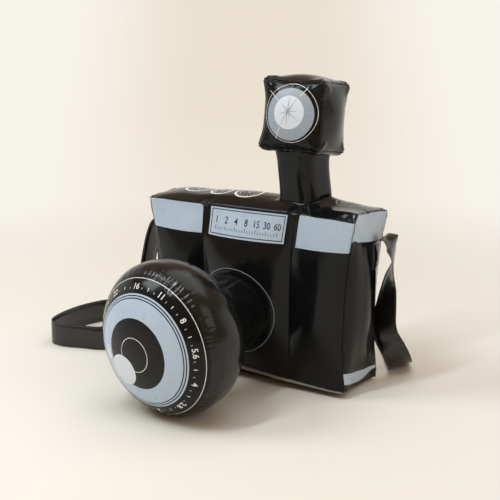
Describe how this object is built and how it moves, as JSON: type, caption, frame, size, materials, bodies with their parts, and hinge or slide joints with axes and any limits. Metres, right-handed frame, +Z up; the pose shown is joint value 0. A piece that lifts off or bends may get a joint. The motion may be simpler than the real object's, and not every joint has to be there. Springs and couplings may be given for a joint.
{
  "type": "inflatable camera prop",
  "caption": "Inflatable toy camera of glossy black film with a ball-shaped lens on a neck, a raised flash head, printed silver trim and a carrying strap.",
  "frame": {"origin": "middle of the flat base of the body, on the surface the prop stands on", "axes": "+Z up, -Y towards the lens, +X to the right of someone who faces the lens side"},
  "size_m": [0.5429, 0.5406, 0.4288],
  "materials": {
    "black_film": "gloss",
    "printed_film": "gloss",
    "web_film": "satin",
    "strap_film": "gloss",
    "valve_plastic": "satin",
    "flap_film": "matte"
  },
  "bodies": {
    "camera_body": {"body_front_panel": "black_film", "body_back_panel": "black_film", "body_top_panel": "black_film", "body_bottom_panel": "black_film", "body_left_panel": "black_film", "body_right_panel": "black_film", "tie_web_left": "web_film", "tie_web_right": "web_film", "lens_neck": "black_film", "lens_neck_collar": "black_film", "flash_neck": "black_film", "flash_neck_collar": "black_film", "strap_tab_left": "black_film", "strap_tab_right": "black_film", "strap": "strap_film", "valve_base": "valve_plastic"},
    "lens_ball": {"lens_front_panel": "printed_film", "lens_band": "black_film", "lens_rear_panel": "black_film"},
    "flash_head": {"flash_front_panel": "printed_film", "flash_back_panel": "black_film", "flash_top_panel": "black_film", "flash_bottom_panel": "black_film", "flash_left_panel": "black_film", "flash_right_panel": "black_film"},
    "stem": {"valve_stem": "valve_plastic"},
    "plug": {"valve_plug": "valve_plastic"},
    "flap": {"valve_flap": "flap_film"}
  },
  "joints": [
    {"name": "lens_sway", "type": "hinge", "parent": "camera_body", "child": "lens_ball", "pos_m": [-0.0105, -0.106, 0.1063], "axis": [0, 0, 1], "range_deg": [-12, 12], "stiffness_Nm_per_rad": 0.5, "deforming": ["lens_neck"]},
    {"name": "flash_nod", "type": "hinge", "parent": "camera_body", "child": "flash_head", "pos_m": [0.0605, -0.001, 0.29], "axis": [1, 0, 0], "range_deg": [-12, 20], "stiffness_Nm_per_rad": 0.6, "deforming": ["flash_neck"]},
    {"name": "valve_push", "type": "slide", "parent": "camera_body", "child": "stem", "axis": [0, -1, 0], "range_m": [0, 0.0095]},
    {"name": "plug_swing", "type": "hinge", "parent": "stem", "child": "plug", "pos_m": [0, 0.0858, 0.1168], "axis": [-1, 0, 0], "range_deg": [0, 150]},
    {"name": "flap_swing", "type": "hinge", "parent": "stem", "child": "flap", "pos_m": [0, 0.0567, 0.1315], "axis": [-1, 0, 0], "range_deg": [0, 50], "stiffness_Nm_per_rad": 0.001}
  ]
}
